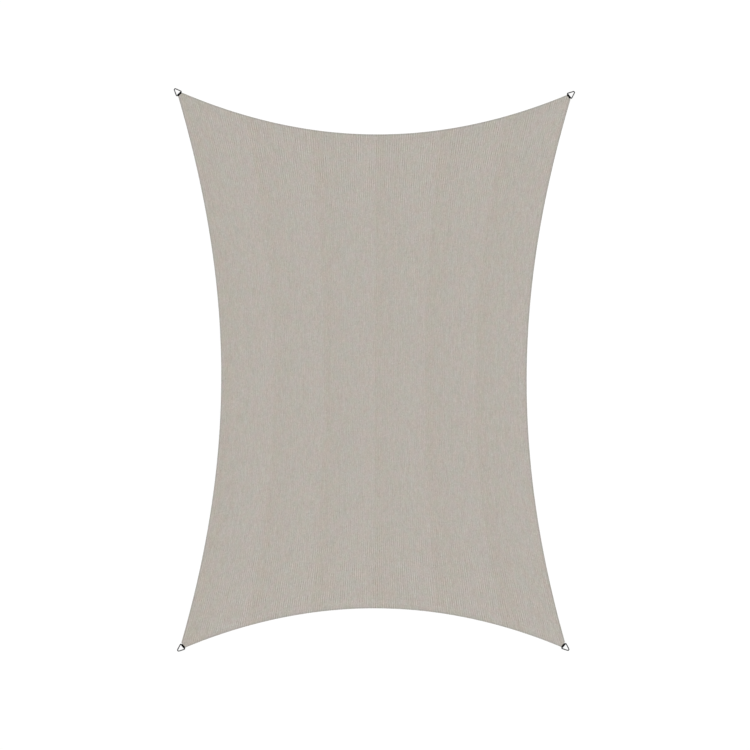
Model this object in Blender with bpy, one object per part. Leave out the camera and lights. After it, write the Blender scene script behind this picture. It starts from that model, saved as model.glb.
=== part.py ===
"""Rectangular shade sail, laid out flat with its face up.

Knitted cloth with four hollowed edges and a hem turned under all round. Each
blunt corner is a pocket between the cloth's layers, and it holds the tails of
a webbing loop that wraps the base bar of a triangular wire ring.

Metres, +Z up. The face looks up, +Y runs along the sail's long way, and the
origin is under the middle of the whole sail, on the surface that it lies on.
"""

import math
from collections import namedtuple

import bmesh
import bpy
from mathutils import Matrix, Vector

# ---------------------------------------------------------------- cloth sizes
CLOTH = 0.0011          # one layer of knitted cloth
HEM_WIDTH = 0.030       # turned under and sewn
HEM_RAMP = 0.012        # the face comes down from hem to field over this
FOLD = 0.0008           # how far the rounded fold of the hem reaches in
GAP = 0.0003            # between any two pieces

# ------------------------------------------------------------ ring and webbing
WIRE_R = 0.0030         # 6 mm round wire
RING_BASE = 0.0445      # base bar, between the sharp corners of the wire's line
RING_SHARP = 0.0555     # base bar to the sharp apex of the wire's line
RING_CORNER_R = 0.0050  # bend of the wire's line at the two base corners
RING_APEX_R = 0.0070    # bend of the wire's line at the apex
WEB_WIDTH = 0.0300
WEB = 0.0014            # one ply of webbing
BAR_PLAY = 0.00035      # wire to webbing
TAIL = 0.0550           # length of the sewn tails inside the pocket
TIP_CUT = 0.0075        # blunt tip of the cloth to the middle of the base bar

EYE_R = WIRE_R + BAR_PLAY             # inside of the webbing's eye
WRAP_R = EYE_R + WEB                  # outside of it
BAR_Z = WRAP_R                        # the wrapped bar lies on the surface
POCKET_Z = (CLOTH, CLOTH + 2 * WEB + 2 * GAP)
CORNER_T = POCKET_Z[1] + CLOTH        # cloth, two plies of webbing, cloth
BUMP_FULL = 0.105       # from the corner's point, the cloth is this thick
BUMP_END = 0.160        # and down to the hem again here

# The corners' points are where the edges' curves would meet, and ring is the
# middle of the ring's base bar. web_shift is how far along that bar the webbing
# sits from its middle. The sail is a little out of square.
Corner = namedtuple("Corner", "name x y ring_x ring_y heading_deg web_shift")
CORNERS = {
    "tl": Corner("tl", -1.26727, 1.79005, -1.24832, 1.76575, 133.5, -0.0004),
    "tr": Corner("tr", 1.26783, 1.77425, 1.24543, 1.75105, 39.6, -0.0004),
    "br": Corner("br", 1.23313, -1.78875, 1.20972, -1.76421, -39.8, 0.0004),
    "bl": Corner("bl", -1.24947, -1.79325, -1.22427, -1.76875, -140.0, -0.0004),
}

# Each edge bows in from the straight line between two corners. sag is the
# depth at the middle, full flattens or fills the shoulders of the bow, and
# lean moves its weight towards the edge's start (+) or end (-).
Edge = namedtuple("Edge", "start end sag full lean")
EDGES = {
    "top": Edge("tl", "tr", 0.2750, -0.011, -0.004),
    "bottom": Edge("bl", "br", 0.2649, -0.001, -0.006),
    "left": Edge("bl", "tl", 0.2780, -0.055, 0.014),
    "right": Edge("br", "tr", 0.2753, -0.049, 0.014),
}

# Lines of the cloth's grid, by how far in from an edge they lie.
EDGE_LINES = (0.0, FOLD, 0.5 * HEM_WIDTH, HEM_WIDTH, HEM_WIDTH + HEM_RAMP,
              0.062, 0.084, 0.108, 0.136, 0.180)
FIELD_LINES_ACROSS = 9
FIELD_LINES_ALONG = 15

WIRE_SIDES = 12
BASE_BEND_STEPS = 5
APEX_BEND_STEPS = 7     # odd, so that one flat lies square across the apex
EYE_STEPS = 16


# ------------------------------------------------------------------ utilities
def clear_scene():
    for obj in list(bpy.data.objects):
        bpy.data.objects.remove(obj, do_unlink=True)


def material(name, colour, roughness, metallic=0.0):
    mat = bpy.data.materials.new(name)
    mat.use_nodes = True
    bsdf = mat.node_tree.nodes["Principled BSDF"]
    bsdf.inputs["Base Color"].default_value = (*colour, 1.0)
    bsdf.inputs["Roughness"].default_value = roughness
    bsdf.inputs["Metallic"].default_value = metallic
    return mat


def add_object(name, bm, mat, matrix=Matrix.Identity(4)):
    bmesh.ops.recalc_face_normals(bm, faces=bm.faces)
    mesh = bpy.data.meshes.new(name)
    bm.to_mesh(mesh)
    bm.free()
    obj = bpy.data.objects.new(name, mesh)
    bpy.context.scene.collection.objects.link(obj)
    obj.matrix_world = matrix
    if mat:
        mesh.materials.append(mat)
    return obj


def smoothstep(x):
    x = min(1.0, max(0.0, x))
    return x * x * (3.0 - 2.0 * x)


# --------------------------------------------------------------- sail outline
def corner_point(name):
    return Vector((CORNERS[name].x, CORNERS[name].y))


def bow(edge, t):
    """The point a share t of the way along an edge, bowed in from its chord."""
    a, b = corner_point(edge.start), corner_point(edge.end)
    along = (b - a).normalized()
    inward = Vector((-along.y, along.x))
    if inward.dot(-(a + b)) < 0.0:
        inward = -inward
    s = 2.0 * t - 1.0
    depth = edge.sag * (1.0 - s * s) * (1.0 + edge.full * s * s - edge.lean * s)
    return a.lerp(b, t) + inward * depth


def sail_point(u, v):
    """Blend the four bowed edges: u runs left to right, v bottom to top."""
    bottom, top = bow(EDGES["bottom"], u), bow(EDGES["top"], u)
    left, right = bow(EDGES["left"], v), bow(EDGES["right"], v)
    bl, br = corner_point("bl"), corner_point("br")
    tl, tr = corner_point("tl"), corner_point("tr")
    return (
        bottom * (1 - v) + top * v + left * (1 - u) + right * u
        - (bl * (1 - u) * (1 - v) + br * u * (1 - v)
           + tl * (1 - u) * v + tr * u * v)
    )


MID_WIDTH = (sail_point(1.0, 0.5) - sail_point(0.0, 0.5)).length
MID_HEIGHT = (sail_point(0.5, 1.0) - sail_point(0.5, 0.0)).length


def grid_lines(length, inner):
    """Shares of a length: close lines by both edges, even ones between."""
    near = [d / length for d in EDGE_LINES]
    step = (1.0 - 2.0 * near[-1]) / (inner + 1)
    middle = [near[-1] + step * (i + 1) for i in range(inner)]
    return near + middle + [1.0 - s for s in reversed(near)]


def ring_axis(corner):
    h = math.radians(corner.heading_deg)
    return Vector((math.cos(h), math.sin(h)))


def face_height(p, du, dv):
    """Height of the face over the surface. du and dv are the ways in."""
    inset = min(du, dv)
    hem = 1.0 - smoothstep((inset - HEM_WIDTH) / HEM_RAMP)
    height = CLOTH * (1.0 + hem)
    for corner in CORNERS.values():
        back = (corner_point(corner.name) - p).dot(ring_axis(corner))
        if back < BUMP_END and (corner_point(corner.name) - p).length < 0.3:
            share = 1.0 - smoothstep((back - BUMP_FULL) / (BUMP_END - BUMP_FULL))
            height = max(height, height + (CORNER_T - height) * share)
    return height


# ---------------------------------------------------------------------- cloth
def build_cloth(mat):
    us = grid_lines(MID_WIDTH, FIELD_LINES_ACROSS)
    vs = grid_lines(MID_HEIGHT, FIELD_LINES_ALONG)
    bm = bmesh.new()
    top, under = {}, {}
    last_i, last_j = len(us) - 1, len(vs) - 1
    for i, u in enumerate(us):
        for j, v in enumerate(vs):
            p = sail_point(u, v)
            du = min(u, 1.0 - u) * MID_WIDTH
            dv = min(v, 1.0 - v) * MID_HEIGHT
            z = face_height(p, du, dv)
            if i in (0, last_i) or j in (0, last_j):
                # the fold of the hem: one line half way up
                top[i, j] = under[i, j] = bm.verts.new((p.x, p.y, z / 2))
            else:
                top[i, j] = bm.verts.new((p.x, p.y, z))
                under[i, j] = bm.verts.new((p.x, p.y, 0.0))
    for i in range(last_i):
        for j in range(last_j):
            cell = ((i, j), (i + 1, j), (i + 1, j + 1), (i, j + 1))
            for side in (top, under):
                ring = [side[k] for k in cell]
                bm.faces.new(ring if side is top else ring[::-1])
    # blunt tips, square to each ring
    for corner in CORNERS.values():
        axis = ring_axis(corner).to_3d()
        at = Vector((corner.ring_x, corner.ring_y, 0.0)) - axis * TIP_CUT
        bmesh.ops.bisect_plane(
            bm, geom=bm.verts[:] + bm.edges[:] + bm.faces[:],
            plane_co=at, plane_no=axis, clear_outer=True, dist=1e-6)
        rim = [e for e in bm.edges if e.is_boundary]
        bmesh.ops.edgeloop_fill(bm, edges=rim)
    obj = add_object("sail_cloth", bm, mat)
    # the pockets that the webbing tails lie in
    depth = TAIL + GAP
    for corner in CORNERS.values():
        cutter = add_box(
            "pocket_cutter_" + corner.name,
            (-TIP_CUT - depth, corner.web_shift - WEB_WIDTH / 2 - GAP, POCKET_Z[0]),
            (0.004, corner.web_shift + WEB_WIDTH / 2 + GAP, POCKET_Z[1]),
            ring_matrix(corner))
        cut = obj.modifiers.new("pocket_" + corner.name, "BOOLEAN")
        cut.operation = "DIFFERENCE"
        cut.solver = "EXACT"
        cut.object = cutter
    return obj


def ring_matrix(corner):
    return (Matrix.Translation((corner.ring_x, corner.ring_y, 0.0))
            @ Matrix.Rotation(math.radians(corner.heading_deg), 4, "Z"))


def add_box(name, low, high, matrix):
    bm = bmesh.new()
    bmesh.ops.create_cube(bm, size=1.0)
    for vert in bm.verts:
        vert.co = Vector([(low[k] + high[k]) / 2 + vert.co[k] * (high[k] - low[k])
                          for k in range(3)])
    obj = add_object(name, bm, None, matrix)
    obj.hide_render = True
    obj.display_type = "WIRE"
    return obj


# ------------------------------------------------------------------ wire ring
def ring_line():
    """The wire's line in its own plane: x out to the apex, y across."""
    half = math.atan2(RING_BASE / 2, RING_SHARP)    # half the apex angle
    corners = (
        (Vector((0.0, -RING_BASE / 2)), RING_CORNER_R, BASE_BEND_STEPS),
        (Vector((RING_SHARP, 0.0)), RING_APEX_R, APEX_BEND_STEPS),
        (Vector((0.0, RING_BASE / 2)), RING_CORNER_R, BASE_BEND_STEPS),
    )
    inside = (math.pi / 2 - half, 2 * half, math.pi / 2 - half)
    points = []
    for k, (at, radius, steps) in enumerate(corners):
        before = (corners[k - 1][0] - at).normalized()
        after = (corners[(k + 1) % 3][0] - at).normalized()
        centre = at + (before + after).normalized() * (radius / math.sin(inside[k] / 2))
        turn = math.pi - inside[k]
        start = at + before * (radius / math.tan(inside[k] / 2)) - centre
        for i in range(steps + 1):
            a = turn * i / steps
            points.append(centre + Vector((
                start.x * math.cos(a) - start.y * math.sin(a),
                start.x * math.sin(a) + start.y * math.cos(a))))
    return points


def build_ring(corner, mat):
    line = ring_line()
    count = len(line)
    flat = WIRE_R * math.cos(math.pi / WIRE_SIDES)
    reach = max(p.x for p in line)
    tilt = math.asin((BAR_Z - flat - 0.00005) / reach)
    bm = bmesh.new()
    rings = []
    for k, p in enumerate(line):
        a = (p - line[k - 1]).normalized()
        b = (line[(k + 1) % count] - p).normalized()
        mean = (a + b).normalized()
        side = Vector((mean.y, -mean.x))            # away from the hole
        stretch = 1.0 / max(0.5, a.dot(mean))       # keeps the wire full in a bend
        loop = []
        for s in range(WIRE_SIDES):
            w = 2 * math.pi * (s + 0.5) / WIRE_SIDES
            q = p + side * (WIRE_R * math.cos(w) * stretch)
            loop.append(bm.verts.new((q.x, q.y, WIRE_R * math.sin(w))))
        rings.append(loop)
    for k in range(count):
        one, two = rings[k], rings[(k + 1) % count]
        for s in range(WIRE_SIDES):
            t = (s + 1) % WIRE_SIDES
            bm.faces.new((one[s], one[t], two[t], two[s]))
    matrix = (ring_matrix(corner) @ Matrix.Translation((0.0, 0.0, BAR_Z))
              @ Matrix.Rotation(tilt, 4, "Y"))
    obj = add_object("ring_" + corner.name, bm, mat, matrix)
    obj.data.shade_smooth()
    return obj


# --------------------------------------------------------------- webbing loop
def build_webbing(corner, mat):
    """Eye round the bar, and both tails sewn together, cut square across."""
    tail_low = POCKET_Z[0] + GAP
    tail_high = POCKET_Z[1] - GAP
    leave_top = (-TIP_CUT + 0.0004, tail_high)      # where the plies close up
    leave_low = (-0.0046, tail_low)
    eye, wrap = [], []
    for k in range(EYE_STEPS):
        a = 2 * math.pi * k / EYE_STEPS
        eye.append((EYE_R * math.cos(a), BAR_Z + EYE_R * math.sin(a)))
        wrap.append((WRAP_R * math.cos(a), BAR_Z + WRAP_R * math.sin(a)))
    half = EYE_STEPS // 2
    wrap[half] = leave_top
    wrap[half + 1] = leave_low
    end_x = -TIP_CUT - TAIL
    tail = [(end_x, tail_low), (end_x, tail_high)]
    bm = bmesh.new()
    layers = []
    for y in (corner.web_shift - WEB_WIDTH / 2, corner.web_shift + WEB_WIDTH / 2):
        layers.append({
            "eye": [bm.verts.new((x, y, z)) for x, z in eye],
            "wrap": [bm.verts.new((x, y, z)) for x, z in wrap],
            "tail": [bm.verts.new((x, y, z)) for x, z in tail],
        })
    near, far = layers
    for layer in layers:
        for k in range(EYE_STEPS):
            n = (k + 1) % EYE_STEPS
            bm.faces.new((layer["eye"][k], layer["eye"][n],
                          layer["wrap"][n], layer["wrap"][k]))
        bm.faces.new((layer["wrap"][half], layer["wrap"][half + 1],
                      layer["tail"][0], layer["tail"][1]))
    for k in range(EYE_STEPS):
        n = (k + 1) % EYE_STEPS
        bm.faces.new((near["eye"][k], near["eye"][n], far["eye"][n], far["eye"][k]))
        if k != half:
            bm.faces.new((near["wrap"][k], near["wrap"][n],
                          far["wrap"][n], far["wrap"][k]))
    for a, b in (((near["wrap"][half], near["tail"][1]), (far["wrap"][half], far["tail"][1])),
                 ((near["tail"][1], near["tail"][0]), (far["tail"][1], far["tail"][0])),
                 ((near["tail"][0], near["wrap"][half + 1]), (far["tail"][0], far["wrap"][half + 1]))):
        bm.faces.new((a[0], a[1], b[1], b[0]))
    return add_object("webbing_" + corner.name, bm, mat, ring_matrix(corner))


# ----------------------------------------------------------------------- sail
def build():
    clear_scene()
    cloth = material("knitted_cloth", (0.474, 0.438, 0.393), 0.85)
    black = material("black_webbing", (0.012, 0.012, 0.012), 0.8)
    steel = material("ring_steel", (0.55, 0.55, 0.54), 0.3, 1.0)
    build_cloth(cloth)
    for corner in CORNERS.values():
        build_webbing(corner, black)
        build_ring(corner, steel)


build()
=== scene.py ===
"""Looks of the shade sail: knitted cloth, stitching, webbing loops and wire rings.

The sail lies flat with its face up and the camera looks straight down on it.
Metres, +Z up, in the frame's own axes.
"""

import math
from collections import namedtuple

import bmesh
import bpy
import numpy as np
from mathutils import Matrix, Vector


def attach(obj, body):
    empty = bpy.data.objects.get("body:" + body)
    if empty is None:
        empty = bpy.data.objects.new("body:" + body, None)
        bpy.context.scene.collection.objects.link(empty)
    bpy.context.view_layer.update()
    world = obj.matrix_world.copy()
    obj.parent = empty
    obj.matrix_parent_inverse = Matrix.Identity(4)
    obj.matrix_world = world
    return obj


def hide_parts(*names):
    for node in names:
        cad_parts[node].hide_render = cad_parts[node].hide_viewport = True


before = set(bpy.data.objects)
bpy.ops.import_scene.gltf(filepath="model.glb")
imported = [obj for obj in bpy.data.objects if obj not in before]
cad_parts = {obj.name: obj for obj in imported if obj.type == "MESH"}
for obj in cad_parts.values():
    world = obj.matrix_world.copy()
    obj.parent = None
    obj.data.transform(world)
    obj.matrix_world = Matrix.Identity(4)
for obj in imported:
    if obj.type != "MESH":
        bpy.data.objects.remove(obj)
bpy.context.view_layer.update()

BODY = "root"

# ------------------------------------------------------------------ real sizes
CLOTH = 0.0011          # one layer of knitted cloth
HEM_WIDTH = 0.030       # turned under and sewn
HEM_RAMP = 0.026        # the face eases down from hem to field over this
RAW_EDGE = 0.0005       # the turned edge steps up within this
GAP = 0.0003

WIRE_R = 0.0030
WIRE_SHOWN_R = 0.0033   # over the wire's satin skin, to the inside of the loop's eye
RING_BASE = 0.0445
RING_SHARP = 0.0555
RING_CORNER_R = 0.0050
RING_APEX_R = 0.0070
WRAP_WIDTH = 0.0330     # the webbing round the bar
TAIL_WIDTH = 0.0300     # drawn in where it enters the tip
WEB = 0.0014
WRAP_SLACK = 0.0014     # how far the stiff loop stands off the outside of the bar
BAR_PLAY = 0.00035
TAIL = 0.0550
TIP_CUT = 0.0072

EYE_R = WIRE_R + BAR_PLAY
WRAP_R = EYE_R + WEB
BAR_Z = WRAP_R
POCKET_Z = (CLOTH, CLOTH + 2 * WEB + 2 * GAP)
CORNER_T = POCKET_Z[1] + CLOTH
BUMP_FULL = 0.105
BUMP_END = 0.160
LAYER_END = 0.112       # the corner's under layer is cut off here

WALES = 692             # chains of knitting across the sail
LINES = 173             # every fourth chain is a little heavier
COURSES = 1320          # rows of loops up the sail
REPEATS, BORDER = 6.07, 0.503   # shading repeats across, and where one begins

# Where the edges' curves would meet, and the middle of each ring's base bar.
Corner = namedtuple("Corner", "name x y ring_x ring_y heading_deg web_shift wrap_shift")
CORNERS = {
    "tl": Corner("tl", -1.26727, 1.79005, -1.24832, 1.76575, 133.5, -0.0004, -0.0004),
    "tr": Corner("tr", 1.26783, 1.77425, 1.24543, 1.75105, 39.6, -0.0004, -0.0004),
    "br": Corner("br", 1.23313, -1.78875, 1.20972, -1.76421, -39.8, 0.0004, 0.0004),
    "bl": Corner("bl", -1.24947, -1.79325, -1.22427, -1.76875, -140.0, -0.0004, 0.0006),
}
Edge = namedtuple("Edge", "start end sag full lean")
EDGES = {
    "top": Edge("tl", "tr", 0.2750, -0.011, -0.004),
    "bottom": Edge("bl", "br", 0.2649, -0.001, -0.006),
    "left": Edge("bl", "tl", 0.2780, -0.055, 0.014),
    "right": Edge("br", "tr", 0.2753, -0.049, 0.014),
}

# ---------------------------------------------------------------- sail outline
def corner_point(name):
    return np.array([CORNERS[name].x, CORNERS[name].y])


def bow(edge, t):
    """Points a share t of the way along an edge, bowed in from its chord."""
    t = np.asarray(t, float)[..., None]
    a, b = corner_point(edge.start), corner_point(edge.end)
    along = (b - a) / np.linalg.norm(b - a)
    inward = np.array([-along[1], along[0]])
    if inward @ -(a + b) < 0.0:
        inward = -inward
    s = 2.0 * t - 1.0
    depth = edge.sag * (1.0 - s * s) * (1.0 + edge.full * s * s - edge.lean * s)
    return a + (b - a) * t + inward * depth


def sail_point(u, v):
    """Blend the four bowed edges: u runs left to right, v bottom to top."""
    u, v = np.asarray(u, float), np.asarray(v, float)
    bottom, top = bow(EDGES["bottom"], u), bow(EDGES["top"], u)
    left, right = bow(EDGES["left"], v), bow(EDGES["right"], v)
    bl, br = corner_point("bl"), corner_point("br")
    tl, tr = corner_point("tl"), corner_point("tr")
    u, v = u[..., None], v[..., None]
    return (bottom * (1 - v) + top * v + left * (1 - u) + right * u
            - (bl * (1 - u) * (1 - v) + br * u * (1 - v) + tl * (1 - u) * v + tr * u * v))


MID_WIDTH = float(np.linalg.norm(sail_point(1.0, 0.5) - sail_point(0.0, 0.5)))
MID_HEIGHT = float(np.linalg.norm(sail_point(0.5, 1.0) - sail_point(0.5, 0.0)))


def ring_axis(corner):
    h = math.radians(corner.heading_deg)
    return np.array([math.cos(h), math.sin(h)])


def ring_matrix(corner):
    return (Matrix.Translation((corner.ring_x, corner.ring_y, 0.0))
            @ Matrix.Rotation(math.radians(corner.heading_deg), 4, "Z"))


def smoothstep(x):
    x = np.clip(x, 0.0, 1.0)
    return x * x * (3.0 - 2.0 * x)


def inset_of(u, v):
    """How far in from the nearest edge, in the cloth's own metres."""
    du = np.minimum(u, 1.0 - u) * MID_WIDTH
    dv = np.minimum(v, 1.0 - v) * MID_HEIGHT
    return np.maximum(np.minimum(du, dv), 0.0)


def unevenness(x, y):
    """The field never lies dead flat: a few long, very low swells."""
    w = (np.sin(2.3 * x + 1.1 * y + 0.7) + np.sin(-3.9 * x + 2.2 * y + 2.1)
         + 0.7 * np.sin(5.3 * x + 4.1 * y + 4.0) + 0.6 * np.sin(1.7 * x - 6.3 * y + 1.3)
         + 0.4 * np.sin(9.1 * x - 3.7 * y + 0.2) + 0.3 * np.sin(4.7 * x + 11.3 * y + 5.1))
    return 0.00022 * (1.0 + w / 4.0)


def corner_share(x, y):
    """1 on the thick corners, falling to 0 past them; and how far in behind each."""
    share = np.zeros_like(x)
    back = np.full_like(x, 9.0)
    for corner in CORNERS.values():
        dx, dy = corner.x - x, corner.y - y
        axis = ring_axis(corner)
        b = dx * axis[0] + dy * axis[1]
        near = np.hypot(dx, dy) < 0.3
        s = 1.0 - smoothstep((b - BUMP_FULL) / (BUMP_END - BUMP_FULL))
        share = np.where(near, np.maximum(share, s), share)
        back = np.where(near, np.minimum(back, b), back)
    return share, back


def full_height(x, y, u, v):
    """Height of the face over the surface, before the edges are rounded."""
    inset = inset_of(u, v)
    hem = 1.0 - smoothstep((inset - HEM_WIDTH) / HEM_RAMP)
    field = smoothstep((inset - 0.05) / 0.10)
    height = CLOTH * (1.0 + hem) + unevenness(x, y) * field
    share, back = corner_share(x, y)
    return height + (CORNER_T - height) * share, inset, share, back


def tip_distance(x, y):
    """How far behind the nearest blunt tip's cut."""
    best = np.full_like(x, 9.0)
    for corner in CORNERS.values():
        axis = ring_axis(corner)
        d = -((x - corner.ring_x) * axis[0] + (y - corner.ring_y) * axis[1]) - TIP_CUT
        near = np.hypot(corner.x - x, corner.y - y) < 0.3
        best = np.where(near, np.minimum(best, d), best)
    return np.maximum(best, 0.0)


def sheet_heights(x, y, u, v):
    """Face and underside of the sheet, with its folds rounded."""
    height, inset, share, back = full_height(x, y, u, v)
    round_r = np.minimum(height / 2, 0.0016)
    under = np.zeros_like(height)
    lifted = (inset > HEM_WIDTH + 0.0001) & (back > LAYER_END + 0.0001)
    rise = np.minimum(smoothstep((inset - HEM_WIDTH) / RAW_EDGE),
                      smoothstep((back - LAYER_END) / RAW_EDGE))
    under = np.where(lifted, np.maximum(height - CLOTH, 0.0) * rise, 0.0)
    # the fold at the edge and the ends of the two layers at each tip
    curl = 1.0 - np.sqrt(np.clip(1.0 - (1.0 - np.clip(inset / round_r, 0, 1)) ** 2, 0, 1))
    tip = tip_distance(x, y)
    tip_r = 0.0006
    tip_curl = 1.0 - np.sqrt(np.clip(1.0 - (1.0 - np.clip(tip / tip_r, 0, 1)) ** 2, 0, 1))
    half = (height - under) / 2
    top = height - half * curl - tip_r * tip_curl * (1.0 - curl)
    low = under + half * curl + tip_r * tip_curl * (1.0 - curl)
    return top, low


# ------------------------------------------------------------------- mesh help
def add_mesh(name, bm, mat, matrix=Matrix.Identity(4), angle=35.0):
    mesh = bpy.data.meshes.new(name)
    bm.to_mesh(mesh)
    bm.free()
    mesh.transform(matrix)
    obj = bpy.data.objects.new(name, mesh)
    bpy.context.scene.collection.objects.link(obj)
    mesh.materials.append(mat)
    mesh.shade_smooth()
    mesh.set_sharp_from_angle(angle=math.radians(angle))
    return obj


def add_arrays(name, verts, faces, mat, angle=50.0):
    mesh = bpy.data.meshes.new(name)
    mesh.from_pydata(verts, [], faces)
    mesh.update()
    obj = bpy.data.objects.new(name, mesh)
    bpy.context.scene.collection.objects.link(obj)
    mesh.materials.append(mat)
    mesh.shade_smooth()
    mesh.set_sharp_from_angle(angle=math.radians(angle))
    return obj


# ------------------------------------------------------------------ node trees
class Look:
    """A material whose nodes are written as expressions."""

    def __init__(self, name):
        self.mat = bpy.data.materials.new(name)
        self.mat.use_nodes = True
        self.tree = self.mat.node_tree
        self.bsdf = self.tree.nodes["Principled BSDF"]

    def node(self, kind, inputs=None, **settings):
        n = self.tree.nodes.new(kind)
        for key, value in settings.items():
            setattr(n, key, value)
        for key, value in (inputs or {}).items():
            self.put(n.inputs[key], value)
        return n

    def put(self, socket, value):
        if isinstance(value, bpy.types.NodeSocket):
            self.tree.links.new(value, socket)
        else:
            socket.default_value = value

    def math(self, op, a, b=None, c=None, clamp=False):
        n = self.tree.nodes.new("ShaderNodeMath")
        n.operation, n.use_clamp = op, clamp
        for i, value in enumerate((a, b, c)):
            if value is not None:
                self.put(n.inputs[i], value)
        return n.outputs[0]

    def add(self, a, b): return self.math("ADD", a, b)
    def sub(self, a, b): return self.math("SUBTRACT", a, b)
    def mul(self, a, b): return self.math("MULTIPLY", a, b)
    def fract(self, a): return self.math("FRACT", a)
    def absolute(self, a): return self.math("ABSOLUTE", a)
    def cos(self, turns): return self.math("COSINE", self.mul(turns, 2 * math.pi))

    def remap(self, value, lo, hi, to_lo=0.0, to_hi=1.0, smooth=True):
        n = self.node("ShaderNodeMapRange", {"Value": value, "From Min": lo, "From Max": hi,
                                             "To Min": to_lo, "To Max": to_hi},
                      interpolation_type="SMOOTHSTEP" if smooth else "LINEAR")
        return n.outputs["Result"]

    def xyz(self, x, y, z=0.0):
        return self.node("ShaderNodeCombineXYZ", {"X": x, "Y": y, "Z": z}).outputs[0]

    def noise(self, vector, scale=1.0, detail=2.0, rough=0.5, dims="3D"):
        n = self.node("ShaderNodeTexNoise", {"Vector": vector, "Scale": scale,
                                             "Detail": detail, "Roughness": rough},
                      noise_dimensions=dims)
        return n.outputs[0]

    def scale(self, colour, factor):
        n = self.node("ShaderNodeVectorMath", {0: colour, "Scale": factor}, operation="SCALE")
        return n.outputs["Vector"]

    def times(self, a, b):
        n = self.node("ShaderNodeVectorMath", {0: a, 1: b}, operation="MULTIPLY")
        return n.outputs["Vector"]

    def ramp(self, value, stops, smooth=False):
        n = self.node("ShaderNodeValToRGB", {0: value})
        n.color_ramp.interpolation = "EASE" if smooth else "LINEAR"
        while len(n.color_ramp.elements) < len(stops):
            n.color_ramp.elements.new(0.5)
        for e, (at, colour) in zip(n.color_ramp.elements, stops):
            e.position, e.color = at, (*colour, 1.0)
        return n.outputs["Color"]

    def bump(self, height, distance, strength=1.0, normal=None):
        n = self.node("ShaderNodeBump", {"Height": height, "Distance": distance,
                                         "Strength": strength})
        if normal is not None:
            self.put(n.inputs["Normal"], normal)
        return n.outputs["Normal"]

    def fixed(self, **values):
        for key, value in values.items():
            self.bsdf.inputs[key.replace("_", " ")].default_value = value


def linear(r, g, b):
    """A colour read in 0 to 255 as linear light."""
    out = []
    for c in (r, g, b):
        c /= 255.0
        out.append(c / 12.92 if c <= 0.04045 else ((c + 0.055) / 1.055) ** 2.4)
    return tuple(out)


# ----------------------------------------------------------------------- looks
YARN_TINT = (0.87, 1.00, 1.12)
LINE_TONE, SHORT_TONE, LONG_TONE, SPECK_TONE = 0.175, 0.295, 0.215, 0.345


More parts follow.
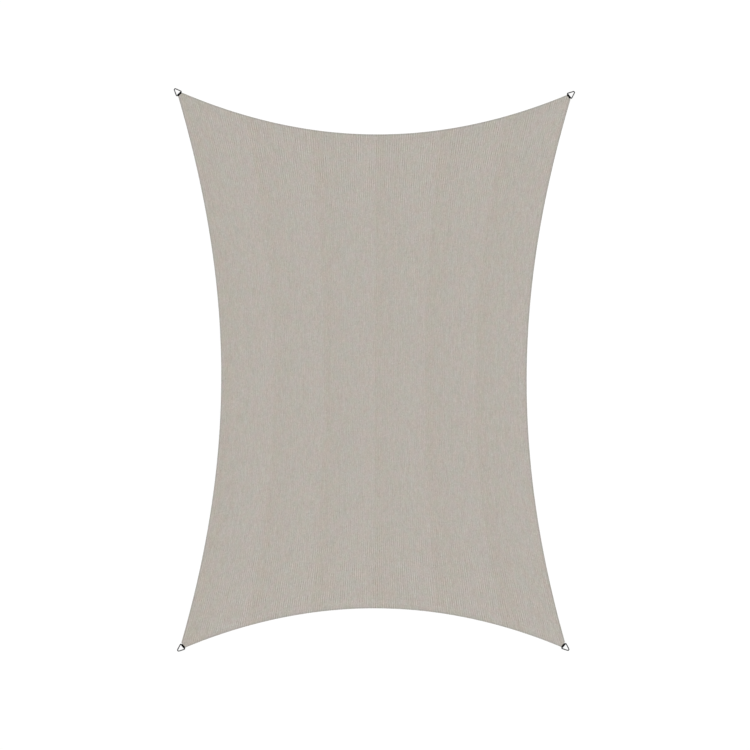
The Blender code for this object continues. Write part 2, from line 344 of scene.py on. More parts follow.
def cloth_look():
    k = Look("knitted_cloth")
    place = k.node("ShaderNodeUVMap", uv_map="fabric").outputs[0]
    split = k.node("ShaderNodeSeparateXYZ", {0: place})
    u, v = split.outputs[0], split.outputs[1]
    inset = k.node("ShaderNodeAttribute", attribute_name="inset_mm").outputs["Fac"]

    # chains of loops: ridges with V-shaped loops, small slits between them
    wale = k.mul(u, WALES)
    across = k.absolute(k.mul(k.sub(k.fract(wale), 0.5), 2.0))
    course = k.mul(v, COURSES)
    ridge = k.sub(1.0, k.mul(across, across))
    loops = k.cos(k.add(course, k.mul(across, 0.45)))
    knit = k.mul(ridge, k.add(0.62, k.mul(loops, 0.38)))
    odd = k.mul(k.math("FLOOR", wale), 0.5)
    slits = k.mul(k.remap(across, 0.62, 1.0),
                  k.add(0.5, k.mul(k.cos(k.add(k.mul(course, 0.5), odd)), 0.5)))

    # heavier lines, broken up along their length, plainest near the ends and
    # fainter again out in the corners
    patches = k.noise(k.xyz(k.mul(u, 34.0), k.mul(v, 52.0)), detail=1.0)
    from_middle = k.absolute(k.sub(v, 0.5))
    strength = k.mul(k.remap(patches, 0.34, 0.66), k.remap(from_middle, 0.27, 0.43, 0.34, 1.0))
    from_axis = k.absolute(k.sub(u, 0.5))
    strength = k.mul(strength, k.remap(from_axis, 0.32, 0.46, 1.0, 0.70))
    drift = k.noise(k.xyz(k.mul(u, 2.0), k.mul(v, 5.0), 6.6), detail=1.0)
    line = k.mul(k.cos(k.add(k.mul(u, LINES), k.mul(drift, 1.8))), strength)
    # each chain has its own tone, which drifts along it
    chain = k.math("FLOOR", wale)
    short = k.noise(k.xyz(k.mul(chain, 7.31), k.mul(v, 158.0), 3.7), detail=0.0)
    long = k.noise(k.xyz(k.mul(chain, 5.17), k.mul(v, 47.0), 9.2), detail=0.0)
    speck = k.noise(k.xyz(k.mul(u, 540.0), k.mul(v, 350.0), 9.1), detail=0.0)

    tone = k.add(1.0, k.mul(line, LINE_TONE))
    tone = k.add(tone, k.mul(k.sub(short, 0.5), SHORT_TONE))
    tone = k.add(tone, k.mul(k.sub(long, 0.5), LONG_TONE))
    tone = k.add(tone, k.mul(k.sub(speck, 0.5), SPECK_TONE))
    # painted shade of the knit's relief: the chains' ridges are a touch lighter and the slits between them
    # darker in colour
    tone = k.add(tone, k.mul(k.sub(knit, 0.41), 0.05))
    tone = k.sub(tone, k.mul(k.sub(slits, 0.09), 0.09))

    # the cloth's shading repeats about six times across: it drops to warm and
    # dark at each repeat's sharp border, then eases to cool and light, with one
    # light line and a dark one beside it near the middle
    base = (182.75, 176.55, 168.15)
    warm, plain, even, cool = (-0.8, -1.4, -2.3), (-0.4, -0.5, -0.7), (0.0, 0.4, 0.5), (1.3, 0.9, 1.4)
    light_line, dark_line = (0.6, 1.1, 1.1), (-1.0, -0.3, -0.3)
    stops = ((0.0, warm), (0.14, warm), (0.20, plain), (0.37, plain), (0.41, light_line),
             (0.455, dark_line), (0.50, even), (1.0, cool))
    wander = k.noise(k.xyz(k.mul(u, 7.0), k.mul(v, 34.0), 1.3), detail=1.0)
    repeat = k.mul(k.sub(u, BORDER), REPEATS)
    repeat = k.fract(k.add(repeat, k.mul(k.sub(wander, 0.5), 0.06)))
    shade = k.ramp(repeat, [(at, linear(*(x + y for x, y in zip(base, c)))) for at, c in stops])

    # faint clouds of yarn colour: green-grey to pink-grey, and yellower to bluer
    cloud = k.noise(k.xyz(k.mul(u, 54.0), k.mul(v, 74.0), 5.5), detail=2.0)
    tint = k.ramp(k.remap(cloud, 0.32, 0.68), [(0.0, (0.979, 1.013, 0.999)),
                                              (1.0, (1.025, 0.987, 1.002))])
    haze = k.noise(k.xyz(k.mul(u, 43.0), k.mul(v, 52.0), 17.3), detail=2.0)
    tint = k.times(tint, k.ramp(k.remap(haze, 0.32, 0.68), [(0.0, (1.003, 1.003, 0.981)),
                                                           (1.0, (0.997, 0.997, 1.019))]))
    # painted shade: the outer edge's colour is darkened and greyed, standing in for the rounded fold of
    # the hem taking less light
    rim = k.ramp(k.remap(inset, 7.0, 13.0), [(0.0, (0.872, 0.898, 0.912)),
                                            (1.0, (1.0, 1.0, 1.0))])
    colour = k.times(k.times(shade, tint), rim)
    # light yarns are a touch bluer and dark ones warmer
    uneven = k.scale(k.xyz(*YARN_TINT), k.sub(tone, 1.0))
    uneven = k.node("ShaderNodeVectorMath", {0: uneven, 1: (1.0, 1.0, 1.0)}).outputs["Vector"]
    k.put(k.bsdf.inputs["Base Color"], k.times(colour, uneven))

    k.put(k.bsdf.inputs["Roughness"], k.sub(0.86, k.mul(knit, 0.16)))
    pucker = k.noise(k.xyz(k.mul(u, 150.0), k.mul(v, 230.0), 2.2), detail=1.0)
    near_seam = k.mul(k.remap(inset, 12.0, 24.0), k.remap(inset, 44.0, 30.0))
    soft = k.bump(k.mul(pucker, near_seam), 0.0009)
    k.put(k.bsdf.inputs["Normal"],
          k.bump(k.sub(knit, k.mul(slits, 0.5)), 0.00035, normal=soft))
    k.fixed(Specular_IOR_Level=0.30, Sheen_Weight=0.05, Sheen_Roughness=0.5)
    return k.mat


def thread_look():
    k = Look("sewing_thread")
    place = k.node("ShaderNodeTexCoord").outputs["Object"]
    twist = k.node("ShaderNodeTexWave", {"Vector": place, "Scale": 700.0, "Distortion": 2.0},
                   wave_type="BANDS", bands_direction="DIAGONAL").outputs["Fac"]
    # painted shade of the twist: the thread's colour runs darker in its grooves, following the same bands
    # as its bump
    colour = k.ramp(twist, [(0.0, linear(158, 152, 143)), (1.0, linear(184, 178, 169))])
    k.put(k.bsdf.inputs["Base Color"], colour)
    k.put(k.bsdf.inputs["Normal"], k.bump(twist, 0.0001))
    k.fixed(Roughness=0.6, Specular_IOR_Level=0.4)
    return k.mat


def webbing_look():
    k = Look("black_webbing")
    place = k.node("ShaderNodeUVMap", uv_map="weave").outputs[0]
    split = k.node("ShaderNodeSeparateXYZ", {0: place})
    s, y = split.outputs[0], split.outputs[1]       # millimetres along and across
    fold = k.absolute(k.sub(k.fract(k.mul(y, 1 / 7.0)), 0.5))
    twill = k.cos(k.add(k.mul(s, 1 / 1.7), k.mul(fold, 5.0)))
    yarn = k.cos(k.mul(y, 1 / 0.9))
    height = k.add(k.mul(twill, 0.6), k.mul(yarn, 0.25))
    fuzz = k.noise(k.xyz(k.mul(s, 3.0), k.mul(y, 3.0)), detail=3.0)
    value = k.add(k.mul(k.add(height, 1.0), 0.35), k.mul(fuzz, 0.45))
    # partly random tone of the yarn from the fuzz, partly painted shade of the weave: the raised twill is
    # painted lighter than its hollows
    k.put(k.bsdf.inputs["Base Color"],
          k.ramp(value, [(0.1, (0.0008, 0.0008, 0.0009)), (0.9, (0.0042, 0.0042, 0.0045))]))
    k.put(k.bsdf.inputs["Roughness"], k.sub(0.82, k.mul(fuzz, 0.16)))
    k.put(k.bsdf.inputs["Normal"], k.bump(height, 0.00018))
    k.fixed(Specular_IOR_Level=0.02, Sheen_Weight=0.0)
    return k.mat


def steel_look():
    k = Look("satin_steel")
    place = k.node("ShaderNodeUVMap", uv_map="wire").outputs[0]
    split = k.node("ShaderNodeSeparateXYZ", {0: place})
    s, w = split.outputs[0], split.outputs[1]       # millimetres along, turns round
    drawn = k.noise(k.xyz(k.mul(s, 0.12), k.mul(w, 46.0)), detail=2.0)
    cloud = k.noise(k.xyz(k.mul(s, 0.10), k.mul(w, 2.0), 4.0), detail=2.0)
    tone = k.add(k.mul(drawn, 0.55), k.mul(cloud, 0.45))
    k.put(k.bsdf.inputs["Base Color"],
          k.ramp(tone, [(0.30, (0.036, 0.036, 0.0355)), (0.70, (0.062, 0.062, 0.0615))]))
    k.put(k.bsdf.inputs["Roughness"], k.remap(tone, 0.25, 0.75, 0.40, 0.24))
    k.put(k.bsdf.inputs["Normal"], k.bump(drawn, 0.00003))
    k.fixed(Metallic=1.0, Specular_Tint=(0.35, 0.35, 0.35, 1.0))
    return k.mat


# ----------------------------------------------------------------------- cloth
EDGE_LINES = (0.0, 0.00025, 0.0009, 0.0020, 0.0045, 0.009, 0.015, 0.021, 0.026,
              0.0296, HEM_WIDTH, HEM_WIDTH + RAW_EDGE, 0.0325, 0.037, 0.043,
              0.050, 0.058, 0.069)
FIELD_STEP = 0.0150


def grid_lines(length):
    near = np.array(EDGE_LINES) / length
    inner = int(round((length - 2 * EDGE_LINES[-1]) / FIELD_STEP))
    middle = np.linspace(near[-1], 1.0 - near[-1], inner + 1)[1:-1]
    return np.concatenate([near, middle, 1.0 - near[::-1]])


def build_sail(mat):
    us, vs = grid_lines(MID_WIDTH), grid_lines(MID_HEIGHT)
    gu, gv = np.meshgrid(us, vs, indexing="ij")
    p = sail_point(gu, gv)
    rough, *_ = full_height(p[..., 0], p[..., 1], gu, gv)
    nu, nv = gu.shape
    rim = np.zeros((nu, nv), bool)
    rim[[0, -1], :] = rim[:, [0, -1]] = True
    top_id = np.arange(nu * nv).reshape(nu, nv)
    low_id = top_id.copy()
    low_id[~rim] = nu * nv + np.arange((~rim).sum())
    verts = np.zeros((nu * nv + (~rim).sum(), 3))
    verts[:nu * nv, :2] = p.reshape(-1, 2)
    verts[:nu * nv, 2] = np.where(rim, rough / 2, rough).ravel()
    verts[nu * nv:, :2] = p[~rim]
    side = np.concatenate([np.where(rim, 0.0, 1.0).ravel(), -np.ones((~rim).sum())])
    fu = np.concatenate([gu.ravel(), gu[~rim]])
    fv = np.concatenate([gv.ravel(), gv[~rim]])

    def quads(ids, flip):
        q = np.stack([ids[:-1, :-1], ids[1:, :-1], ids[1:, 1:], ids[:-1, 1:]], -1).reshape(-1, 4)
        return q[:, ::-1] if flip else q

    mesh = bpy.data.meshes.new("sail")
    mesh.from_pydata(verts, [], np.concatenate([quads(top_id, False), quads(low_id, True)]))
    for name, values in (("fu", fu), ("fv", fv), ("side", side)):
        mesh.attributes.new(name, "FLOAT", "POINT").data.foreach_set("value", values.astype(np.float32))
    bm = bmesh.new()
    bm.from_mesh(mesh)
    bpy.data.meshes.remove(mesh)

    for corner in CORNERS.values():
        axis = Vector((*ring_axis(corner), 0.0))
        tip = Vector((corner.ring_x, corner.ring_y, 0.0)) - axis * TIP_CUT
        point = Vector((corner.x, corner.y, 0.0))
        cuts = [(tip - axis * d, d == 0.0) for d in (0.0, 0.00015, 0.0006, 0.0030)]
        cuts += [(point - axis * d, False) for d in (LAYER_END, LAYER_END + RAW_EDGE)]
        for at, clear in cuts:
            near = [f for f in bm.faces if (f.calc_center_median() - point).length < 0.28]
            geom = set(near)
            for f in near:
                geom.update(f.edges)
                geom.update(f.verts)
            bmesh.ops.bisect_plane(bm, geom=list(geom), plane_co=at, plane_no=axis,
                                   clear_outer=clear, dist=1e-6)
    bm.normal_update()

    # each tip: close it round the mouth of the pocket for the webbing's tails
    for corner in CORNERS.values():
        place = ring_matrix(corner)
        back = place.inverted()
        rim_edges = [e for e in bm.edges if e.is_boundary
                     and (e.verts[0].co - place.translation).length < 0.1]
        half, mid = TAIL_WIDTH / 2 + GAP, corner.web_shift
        mouth, inside = [], []
        for y, z in ((mid - half, POCKET_Z[0]), (mid + half, POCKET_Z[0]),
                     (mid + half, POCKET_Z[1]), (mid - half, POCKET_Z[1])):
            mouth.append(bm.verts.new(place @ Vector((-TIP_CUT, y, z))))
            inside.append(bm.verts.new(place @ Vector((-TIP_CUT - TAIL - GAP, y, z))))
        layers = [bm.verts.layers.float[n] for n in ("fu", "fv", "side")]
        near = min((e.verts[0] for e in rim_edges), key=lambda w: (w.co - mouth[0].co).length)
        for w in mouth + inside:
            w[layers[0]], w[layers[1]], w[layers[2]] = near[layers[0]], near[layers[1]], 9.0
        for k in range(4):
            n = (k + 1) % 4
            bm.faces.new((mouth[n], mouth[k], inside[k], inside[n])).material_index = 0
        bm.faces.new(inside)
        hole = [bm.edges.get((mouth[k], mouth[(k + 1) % 4])) for k in range(4)]
        bmesh.ops.triangle_fill(bm, edges=rim_edges + hole, use_beauty=True,
                                normal=Vector((*ring_axis(corner), 0.0)))
    bmesh.ops.recalc_face_normals(bm, faces=bm.faces)

    obj = add_mesh("sail", bm, mat, angle=42.0)
    me = obj.data
    n = len(me.vertices)
    co = np.empty(n * 3, np.float32)
    me.vertices.foreach_get("co", co)
    co = co.reshape(-1, 3).astype(float)
    read = {}
    for name in ("fu", "fv", "side"):
        a = np.empty(n, np.float32)
        me.attributes[name].data.foreach_get("value", a)
        read[name] = a.astype(float)
    top, low = sheet_heights(co[:, 0], co[:, 1], read["fu"], read["fv"])
    pocket = read["side"] > 5.0
    z = np.where(read["side"] >= 0, top, low)
    co[:, 2] = np.where(pocket, co[:, 2], z)
    me.vertices.foreach_set("co", co.astype(np.float32).ravel())
    inset = inset_of(read["fu"], read["fv"]) * 1000.0
    me.attributes.new("inset_mm", "FLOAT", "POINT").data.foreach_set("value", inset.astype(np.float32))

    # the cloth's own coordinates, and a map for flat pictures of it: both
    # sides share the square, and the small upright faces have a strip beside it
    loops = np.empty(len(me.loops), np.int32)
    me.loops.foreach_get("vertex_index", loops)
    starts = np.empty(len(me.polygons), np.int32)
    totals = np.empty(len(me.polygons), np.int32)
    me.polygons.foreach_get("loop_start", starts)
    me.polygons.foreach_get("loop_total", totals)
    normals = np.empty(len(me.polygons) * 3, np.float32)
    me.polygons.foreach_get("normal", normals)
    face_of = np.repeat(np.arange(len(starts)), totals)
    fabric = np.stack([read["fu"], read["fv"]], -1)[loops]
    me.uv_layers.new(name="fabric").uv.foreach_set("vector", fabric.astype(np.float32).ravel())
    flat = 0.004 + fabric * np.array([0.966, 0.992])
    in_pocket = np.zeros(len(starts), bool)
    np.logical_or.at(in_pocket, face_of, pocket[loops])
    xyz = co[loops]
    strip = np.stack([
        0.976 + 0.018 * np.clip(xyz[:, 2] / 0.006, 0, 1),
        0.02 + 0.96 * np.mod((xyz[:, 0] * 3.1 + xyz[:, 1] * 1.7) * 2.0, 1.0)], -1)
    flat = np.where(in_pocket[face_of][:, None], strip, flat)
    me.uv_layers.new(name="OFBake").uv.foreach_set("vector", flat.astype(np.float32).ravel())
    me.uv_layers["fabric"].active = True
    for name in ("fu", "fv", "side"):
        me.attributes.remove(me.attributes[name])
    me.update()
    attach(obj, BODY)
    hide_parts("sail_cloth")
    return obj


# -------------------------------------------------------------------- stitches
STITCH_SHAPE = (      # along, across, up, in shares of a stitch's length, width, height
    (-0.50, 0.0, -0.35),
    (-0.30, -0.5, -0.15), (-0.30, 0.0, 0.62), (-0.30, 0.5, -0.15), (-0.30, 0.0, -0.8),
    (0.30, -0.5, -0.15), (0.30, 0.0, 0.62), (0.30, 0.5, -0.15), (0.30, 0.0, -0.8),
    (0.50, 0.0, -0.35),
)
STITCH_FACES = (
    (0, 2, 1), (0, 3, 2), (0, 4, 3), (0, 1, 4),
    (1, 2, 6, 5), (2, 3, 7, 6), (3, 4, 8, 7), (4, 1, 5, 8),
    (9, 5, 6), (9, 6, 7), (9, 7, 8), (9, 8, 5),
)
SEAM_INSETS = (0.0062, 0.0252)
STITCH_PITCH, STITCH_LENGTH, STITCH_WIDTH, STITCH_HEIGHT = 0.0050, 0.0041, 0.00075, 0.0004


def seam_places():
    """Middles and headings of the stitches of every seam, by the cloth's u and v."""
    rows = []
    for inset in SEAM_INSETS:
        a, b = inset / MID_WIDTH, inset / MID_HEIGHT
        for fixed, along in (("v", b), ("v", 1 - b), ("u", a), ("u", 1 - a)):
            t = np.linspace(0.0, 1.0, 4001)
            t = t * (1 - 2 * (a if fixed == "v" else b)) + (a if fixed == "v" else b)
            line = np.full_like(t, along)
            u, v = (t, line) if fixed == "v" else (line, t)
            p = sail_point(u, v)
            run = np.concatenate([[0.0], np.cumsum(np.linalg.norm(np.diff(p, axis=0), axis=1))])
            count = int(run[-1] / STITCH_PITCH)
            at = (np.arange(count) + 0.5) * run[-1] / count
            rows.append((np.interp(at, run, u), np.interp(at, run, v)))
    u = np.concatenate([r[0] for r in rows])
    v = np.concatenate([r[1] for r in rows])
    ends = []
    for fixed_u, fixed_v in ((u - 1e-4, v - 1e-4), (u + 1e-4, v + 1e-4)):
        ends.append((fixed_u, fixed_v))
    heading = np.concatenate([
        np.array([sail_point(r[0][min(i + 1, len(r[0]) - 1)], r[1][min(i + 1, len(r[1]) - 1)])
                  - sail_point(r[0][max(i - 1, 0)], r[1][max(i - 1, 0)])
                  for i in range(len(r[0]))]) for r in rows])
    return sail_point(u, v), heading / np.linalg.norm(heading, axis=1)[:, None]


def patch_places():
    """A sewn box with a cross in it over each pair of webbing tails."""
    points, headings = [], []
    x0, x1, y = -0.0135, -0.0570, 0.0122
    sides = (((x0, -y), (x0, y)), ((x0, y), (x1, y)), ((x1, y), (x1, -y)), ((x1, -y), (x0, -y)),
             ((x0, -y), (x1, y)), ((x0, y), (x1, -y)))
    for corner in CORNERS.values():
        place = ring_matrix(corner)
        for (ax, ay), (bx, by) in sides:
            a = place @ Vector((ax, ay + corner.web_shift, 0))
            b = place @ Vector((bx, by + corner.web_shift, 0))
            count = int((b - a).length / 0.0037)
            for i in range(count):
                w = a.lerp(b, (i + 0.5) / count)
                points.append((w.x, w.y))
                d = (b - a).normalized()
                headings.append((d.x, d.y))
    return np.array(points), np.array(headings)


def nearest_uv(p):
    """The cloth's u and v at a point, by a few Newton steps."""
    low, high = corner_point("bl"), corner_point("tr")
    uv = np.clip((p - low) / (high - low), 0.001, 0.999)
    for _ in range(12):
        here = sail_point(uv[:, 0], uv[:, 1])
        e = 1e-5
        du = (sail_point(uv[:, 0] + e, uv[:, 1]) - here) / e
        dv = (sail_point(uv[:, 0], uv[:, 1] + e) - here) / e
        det = du[:, 0] * dv[:, 1] - du[:, 1] * dv[:, 0]
        miss = p - here
        step_u = (miss[:, 0] * dv[:, 1] - miss[:, 1] * dv[:, 0]) / det
        step_v = (du[:, 0] * miss[:, 1] - du[:, 1] * miss[:, 0]) / det
        uv = np.clip(uv + np.stack([step_u, step_v], -1), 0.0, 1.0)
    return uv[:, 0], uv[:, 1]


def build_stitches(mat):
    made = []
    seam_p, seam_h = seam_places()
    box_p, box_h = patch_places()
    p = np.concatenate([seam_p, box_p])
    h = np.concatenate([seam_h, box_h])
    length = np.concatenate([np.full(len(seam_p), STITCH_LENGTH), np.full(len(box_p), 0.0031)])
    clear = tip_distance(p[:, 0], p[:, 1]) > 0.0028      # none past the blunt tips
    for corner in CORNERS.values():
        axis = ring_axis(corner)
        out = (p[:, 0] - corner.ring_x) * axis[0] + (p[:, 1] - corner.ring_y) * axis[1]
        near = np.hypot(p[:, 0] - corner.x, p[:, 1] - corner.y) < 0.3
        clear &= ~(near & (out > -TIP_CUT - 0.0028))
    p, h, length = p[clear], h[clear], length[clear]
    u, v = nearest_uv(p)
    top, low = sheet_heights(p[:, 0], p[:, 1], u, v)
    shape = np.array(STITCH_SHAPE)
    side_dir = np.stack([-h[:, 1], h[:, 0]], -1)
    rng = np.random.default_rng(7)
    for name, up, base in (("stitches_face", 1.0, top), ("stitches_under", -1.0, low)):
        lift = STITCH_HEIGHT * up
        if up < 0:          # the under rows lie sunk in the cloth, over the surface
            base = base + 0.00028
        turn = rng.normal(0.0, 0.03, len(p))
        hx = h[:, 0] * np.cos(turn) - h[:, 1] * np.sin(turn)
        hy = h[:, 0] * np.sin(turn) + h[:, 1] * np.cos(turn)
        verts = np.zeros((len(p), len(shape), 3))
        verts[..., 0] = (p[:, 0, None] + hx[:, None] * shape[None, :, 0] * length[:, None]
                         + side_dir[:, 0, None] * shape[None, :, 1] * STITCH_WIDTH)
        verts[..., 1] = (p[:, 1, None] + hy[:, None] * shape[None, :, 0] * length[:, None]
                         + side_dir[:, 1, None] * shape[None, :, 1] * STITCH_WIDTH)
        verts[..., 2] = base[:, None] + shape[None, :, 2] * lift
        faces = []
        for i in range(len(p)):
            o = i * len(shape)
            for f in STITCH_FACES:
                g = tuple(o + k for k in f)
                faces.append(g if up > 0 else g[::-1])
        obj = add_arrays(name, verts.reshape(-1, 3).tolist(), faces, mat, angle=60.0)
        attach(obj, BODY)
        made.append(obj)
    return made


# --------------------------------------------------------------------- webbing
def webbing_path():
    """Middle of the strip in the ring's x and z, from lower tail's end round the bar to upper tail's end,
    and the distance run along it."""
    r = EYE_R + WEB / 2
    lower, upper = POCKET_Z[0] + GAP + WEB / 2, POCKET_Z[1] - GAP - WEB / 2
    end = -TIP_CUT - TAIL
    knots = [(x, lower) for x in np.linspace(end, -0.0072, 14)]
    knots += [(-0.0057, lower - 0.00004), (-0.0045, lower - 0.0002)]
    for a in np.radians(np.linspace(-118, 174, 37)):
        stand = WRAP_SLACK * max(math.cos(a), 0.0) ** 2
        knots.append(((r + stand) * math.cos(a), BAR_Z + r * math.sin(a)))
    knots += [(-0.00428, 0.00425), (-0.0049, 0.00372), (-0.0057, upper + 0.00004)]
    knots += [(x, upper) for x in np.linspace(-0.0072, end, 14)]
    pts = np.array(knots)
    for _ in range(2):      # ease the joins
        mid = (pts[:-1] + pts[1:]) / 2
        pts[1:-1] = (mid[:-1] + mid[1:]) / 2 * 0.5 + pts[1:-1] * 0.5
    run = np.concatenate([[0.0], np.cumsum(np.linalg.norm(np.diff(pts, axis=0), axis=1))])
    inner = (run > TAIL - 0.006) & (run < run[-1] - TAIL + 0.006)
    a, b = run[inner][0], run[inner][-1]
    s = np.concatenate([np.linspace(0, a, 12)[:-1], np.arange(a, b, 0.00034), np.linspace(b, run[-1], 12)])
    return np.stack([np.interp(s, run, pts[:, 0]), np.interp(s, run, pts[:, 1])], -1), s


def build_webbing(corner, mat, path, s):
    tangent = np.gradient(path, axis=0)
    tangent /= np.linalg.norm(tangent, axis=1)[:, None]
    out = np.stack([tangent[:, 1], -tangent[:, 0]], -1)     # away from the bar
    half_w, half_t = WRAP_WIDTH / 2, WEB / 2 - 0.00004
    ys = np.concatenate([[-half_w], -half_w + np.array([0.0002, 0.0006]),
                         np.linspace(-half_w + 0.0012, half_w - 0.0012, 51),
                         half_w - np.array([0.0006, 0.0002]), [half_w]])
    edge = np.clip((half_w - np.abs(ys)) / 0.0010, 0, 1)
    thick = half_t * np.sqrt(np.clip(1 - (1 - edge) ** 2, 0, 1))
    # herringbone ribs, dying out towards the rounded edges
    fold = np.abs(np.mod(ys / 0.007, 1.0) - 0.5)
    rib = np.cos(2 * np.pi * (s[:, None] / 0.0017 + fold[None, :] * 5.0))
    rib *= np.clip(thick[None, :] / half_t, 0, 1) ** 2
    # the strip narrows where it enters the tip
    free = smoothstep((path[:, 0] + 0.0078) / 0.0050)
    width = (TAIL_WIDTH - 0.0002 + (WRAP_WIDTH - TAIL_WIDTH + 0.0002) * free) / WRAP_WIDTH
    middle = (corner.wrap_shift - corner.web_shift) * free
    # and a little at the outside of the bend, between the ring's corners
    pinch = np.clip(path[:, 0] / path[:, 0].max(), 0, 1) ** 2
    width -= 2 * 0.0006 / WRAP_WIDTH * pinch
    tuck = 0.0003 * pinch[:, None] * smoothstep((np.abs(ys) - 0.0115) / 0.0045)[None, :]
    ring = []
    for sign in (1.0, -1.0):
        t = sign * (thick[None, :] + 0.00005 * (rib - 1.0) * sign ** 0)
        pts = np.empty((len(s), len(ys), 3))
        pts[..., 0] = path[:, 0, None] + out[:, 0, None] * t - tuck
        pts[..., 1] = ys[None, :] * width[:, None] + middle[:, None]
        pts[..., 2] = path[:, 1, None] + out[:, 1, None] * t
        ring.append(pts if sign > 0 else pts[:, ::-1])
    loop = np.concatenate([ring[0], ring[1][:, 1:-1]], axis=1)
    count = loop.shape[1]
    n = len(s)
    ids = np.arange(n * count).reshape(n, count)
    faces = []
    for i in range(n - 1):
        for j in range(count):
            m = (j + 1) % count
            faces.append((ids[i, j], ids[i, m], ids[i + 1, m], ids[i + 1, j]))
    caps = (tuple(ids[0, ::-1]), tuple(ids[-1]))
    verts = loop.reshape(-1, 3)
    mesh = bpy.data.meshes.new("loop_" + corner.name)
    mesh.from_pydata(verts.tolist(), [], [tuple(int(k) for k in f) for f in faces]
                     + [tuple(int(k) for k in c) for c in caps])
    bm = bmesh.new()
    bm.from_mesh(mesh)
    bpy.data.meshes.remove(mesh)
    bmesh.ops.recalc_face_normals(bm, faces=bm.faces)
    uv = bm.loops.layers.uv.new("weave")
    bm.verts.ensure_lookup_table()
    along = np.repeat(s * 1000.0, count)
    across = verts[:, 1] * 1000.0
    for f in bm.faces:
        for lp in f.loops:
            lp[uv].uv = (along[lp.vert.index], across[lp.vert.index])
    place = ring_matrix(corner) @ Matrix.Translation((0.0, corner.web_shift, 0.0))
    obj = add_mesh("loop_" + corner.name, bm, mat, place, angle=60.0)
    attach(obj, BODY)
    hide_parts("webbing_" + corner.name)
    return obj


# ----------------------------------------------------------------------- rings
def ring_line(base_steps, apex_steps, leg_steps):
    """The wire's line in its own plane: x out to the apex, y across."""
    half = math.atan2(RING_BASE / 2, RING_SHARP)
    corners = (
        (np.array([0.0, -RING_BASE / 2]), RING_CORNER_R, base_steps),
        (np.array([RING_SHARP, 0.0]), RING_APEX_R, apex_steps),
        (np.array([0.0, RING_BASE / 2]), RING_CORNER_R, base_steps),
    )
    inside = (math.pi / 2 - half, 2 * half, math.pi / 2 - half)
    points = []
    for k, (at, radius, steps) in enumerate(corners):
        before = corners[k - 1][0] - at
        after = corners[(k + 1) % 3][0] - at
        before /= np.linalg.norm(before)
        after /= np.linalg.norm(after)
        mid = (before + after) / np.linalg.norm(before + after)
        centre = at + mid * (radius / math.sin(inside[k] / 2))
        turn = math.pi - inside[k]
        start = at + before * (radius / math.tan(inside[k] / 2)) - centre
        for i in range(steps + 1):
            a = turn * i / steps
            points.append(centre + np.array([start[0] * math.cos(a) - start[1] * math.sin(a),
                                             start[0] * math.sin(a) + start[1] * math.cos(a)]))
    # short steps along the straight legs as well
    full = []
    for k, p in enumerate(points):
        q = points[(k + 1) % len(points)]
        gap = np.linalg.norm(q - p)
        steps = leg_steps if gap > 0.008 else 1
        full += [p + (q - p) * i / steps for i in range(steps)]
    return full


def build_ring(corner, mat):
    line = ring_line(14, 20, 12)
    tilt = math.asin((BAR_Z - WIRE_SHOWN_R - 0.00003) / max(p[0] for p in line))
    sides, count = 28, len(line)
    run = 0.0
    bm = bmesh.new()
    uv = bm.loops.layers.uv.new("wire")
    rings, along = [], []
    for k, p in enumerate(line):
        a = p - line[k - 1]
        b = line[(k + 1) % count] - p
        a, b = a / np.linalg.norm(a), b / np.linalg.norm(b)
        mean = (a + b) / np.linalg.norm(a + b)
        side = np.array([mean[1], -mean[0]])
        loop = []
        radius = WIRE_SHOWN_R - 0.00002
        for s in range(sides):
            w = 2 * math.pi * s / sides
            q = p + side * (radius * math.cos(w))
            loop.append(bm.verts.new((q[0], q[1], radius * math.sin(w))))
        rings.append(loop)
        along.append(run)
        run += float(np.linalg.norm(line[(k + 1) % count] - p)) * 1000.0
    along.append(run)
    for k in range(count):
        one, two = rings[k], rings[(k + 1) % count]
        for s in range(sides):
            t = (s + 1) % sides
            face = bm.faces.new((one[s], one[t], two[t], two[s]))
            for lp, (x, y) in zip(face.loops, ((k, s), (k, s + 1), (k + 1, s + 1), (k + 1, s))):
                lp[uv].uv = (along[x], y / sides)
    bmesh.ops.recalc_face_normals(bm, faces=bm.faces)
    matrix = (ring_matrix(corner) @ Matrix.Translation((0.0, 0.0, BAR_Z))
              @ Matrix.Rotation(tilt, 4, "Y"))
    obj = add_mesh("wire_ring_" + corner.name, bm, mat, matrix, angle=60.0)
    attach(obj, BODY)
    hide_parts("ring_" + corner.name)
    return obj


# ---------------------------------------------------------- floor, light, view
FLOOR_GLOW = 0.880       # a light table: the floor reads pure white
SUN = 1.42
SKY_LOW, SKY_HIGH = 1.02, 0.42


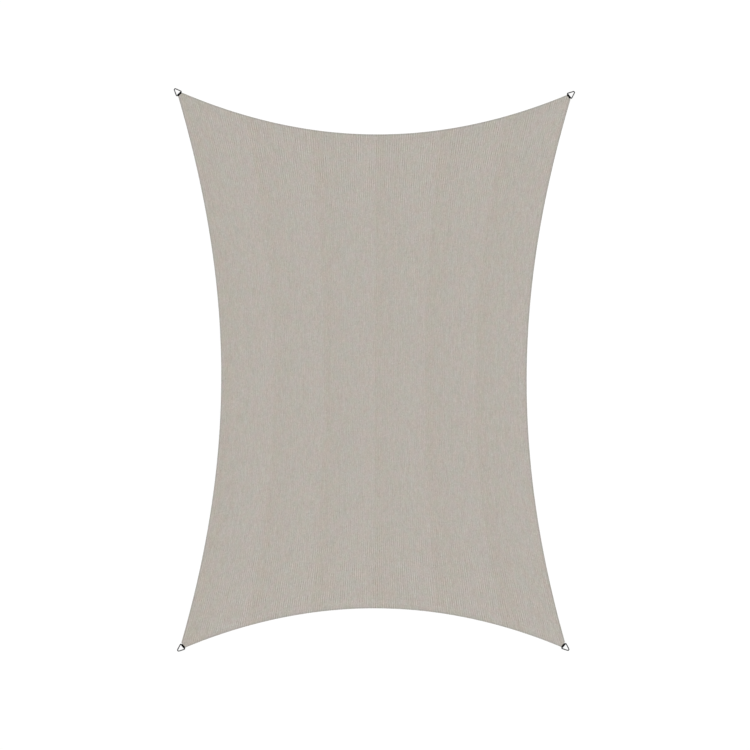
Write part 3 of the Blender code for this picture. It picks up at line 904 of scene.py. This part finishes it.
def build_stage():
    bm = bmesh.new()
    bmesh.ops.create_grid(bm, x_segments=1, y_segments=1, size=60.0)
    k = Look("pale_floor")
    place = k.node("ShaderNodeTexCoord").outputs["Object"]
    cloud = k.noise(place, scale=0.8, detail=2.0)
    k.put(k.bsdf.inputs["Base Color"],
          k.ramp(cloud, [(0.3, (0.131, 0.131, 0.131)), (0.7, (0.139, 0.139, 0.139))]))
    k.fixed(Roughness=0.9, Specular_IOR_Level=0.2,
            Emission_Color=(1.0, 1.0, 1.0, 1.0), Emission_Strength=FLOOR_GLOW)
    floor = add_mesh("floor", bm, k.mat, Matrix.Translation((0.0, 0.0, -0.0004)))

    lamp = bpy.data.lights.new("key", "SUN")
    lamp.energy, lamp.angle = SUN, math.radians(24.0)
    lamp.color = (1.0, 0.995, 0.985)
    key = bpy.data.objects.new("key", lamp)
    bpy.context.scene.collection.objects.link(key)
    towards = Vector((-0.20, 0.42, 0.88)).normalized()
    key.rotation_mode = "QUATERNION"
    key.rotation_quaternion = towards.to_track_quat("Z", "Y")

    world = bpy.data.worlds.new("studio")
    bpy.context.scene.world = world
    world.use_nodes = True
    tree = world.node_tree
    back = tree.nodes["Background"]
    coords = tree.nodes.new("ShaderNodeTexCoord")
    split = tree.nodes.new("ShaderNodeSeparateXYZ")
    tree.links.new(coords.outputs["Generated"], split.inputs[0])
    fall = tree.nodes.new("ShaderNodeMapRange")
    fall.interpolation_type = "SMOOTHSTEP"
    for name, value in (("From Min", 0.15), ("From Max", 0.95), ("To Min", SKY_LOW), ("To Max", SKY_HIGH)):
        fall.inputs[name].default_value = value
    tree.links.new(split.outputs["Z"], fall.inputs["Value"])
    tree.links.new(fall.outputs["Result"], back.inputs["Strength"])
    back.inputs["Color"].default_value = (1.0, 1.0, 1.0, 1.0)


def build_camera():
    data = bpy.data.cameras.new("camera")
    data.type = "PERSP"
    data.lens, data.sensor_width = 100.0, 36.0
    data.clip_start, data.clip_end = 0.1, 200.0
    camera = bpy.data.objects.new("camera", data)
    bpy.context.scene.collection.objects.link(camera)
    frame_width = 4.8                   # what the square view spans at the cloth
    distance = frame_width / 2 / (data.sensor_width / 2 / data.lens)
    camera.location = (0.00403, -0.03275, distance + 0.0015)
    camera.rotation_euler = (0.0, 0.0, 0.0)
    bpy.context.scene.camera = camera
    bpy.context.scene.view_settings.view_transform = "Standard"
    bpy.context.scene.view_settings.look = "None"


# ------------------------------------------------------------------------ make
build_camera()
build_stage()
cloth, thread, black, steel = cloth_look(), thread_look(), webbing_look(), steel_look()
sail = build_sail(cloth)
stitches = build_stitches(thread)
path, run = webbing_path()
loops = [build_webbing(c, black, path, run) for c in CORNERS.values()]
rings = [build_ring(c, steel) for c in CORNERS.values()]
